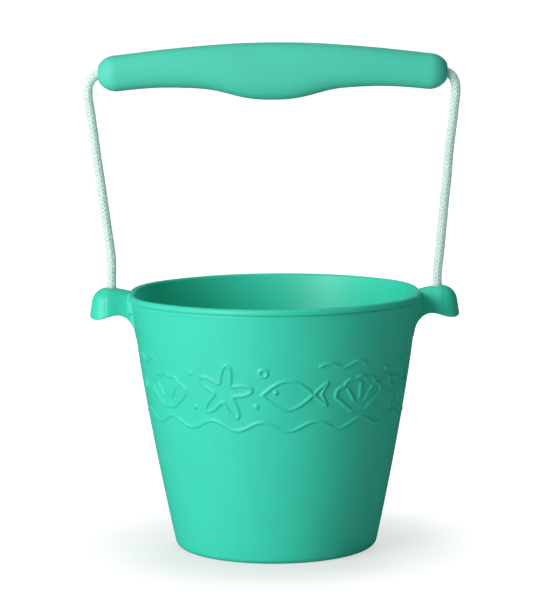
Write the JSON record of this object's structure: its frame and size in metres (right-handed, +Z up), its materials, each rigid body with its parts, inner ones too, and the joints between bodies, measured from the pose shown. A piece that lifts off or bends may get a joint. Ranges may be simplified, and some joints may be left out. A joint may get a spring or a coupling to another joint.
{
  "type": "sand bucket",
  "caption": "Soft silicone sand bucket with a tapered round wall, two hollow moulded lugs, and a moulded grip carried on a braided cord bail.",
  "frame": {"origin": "centre of the base, on the surface that the bucket stands on", "axes": "+Z up through the mouth, +X from the bucket's axis through the right-hand lug, +Y away from the front"},
  "size_m": [0.2033, 0.16, 0.2745],
  "materials": {
    "silicone_body": "satin moulded silicone, mint green",
    "silicone_grip": "matte moulded silicone, mint green",
    "cord": "braided white cord"
  },
  "bodies": {
    "bucket": {"bucket_shell": "silicone_body", "stopper_knot_left": "cord", "stopper_knot_right": "cord"},
    "bail": {"cord_run_left": "cord", "cord_run_right": "cord", "cord_in_grip": "cord"},
    "grip": {"handle_grip": "silicone_grip"}
  },
  "joints": [
    {"name": "bail_swing", "type": "hinge", "parent": "bucket", "child": "bail", "pos_m": [0, 0, 0.148], "axis": [1, 0, 0], "range_deg": [-125, 125], "deforming": ["cord_run_left", "cord_run_right"]},
    {"name": "grip_turn", "type": "hinge", "parent": "bail", "child": "grip", "pos_m": [0, 0, 0.2585], "axis": [1, 0, 0], "continuous": true}
  ]
}
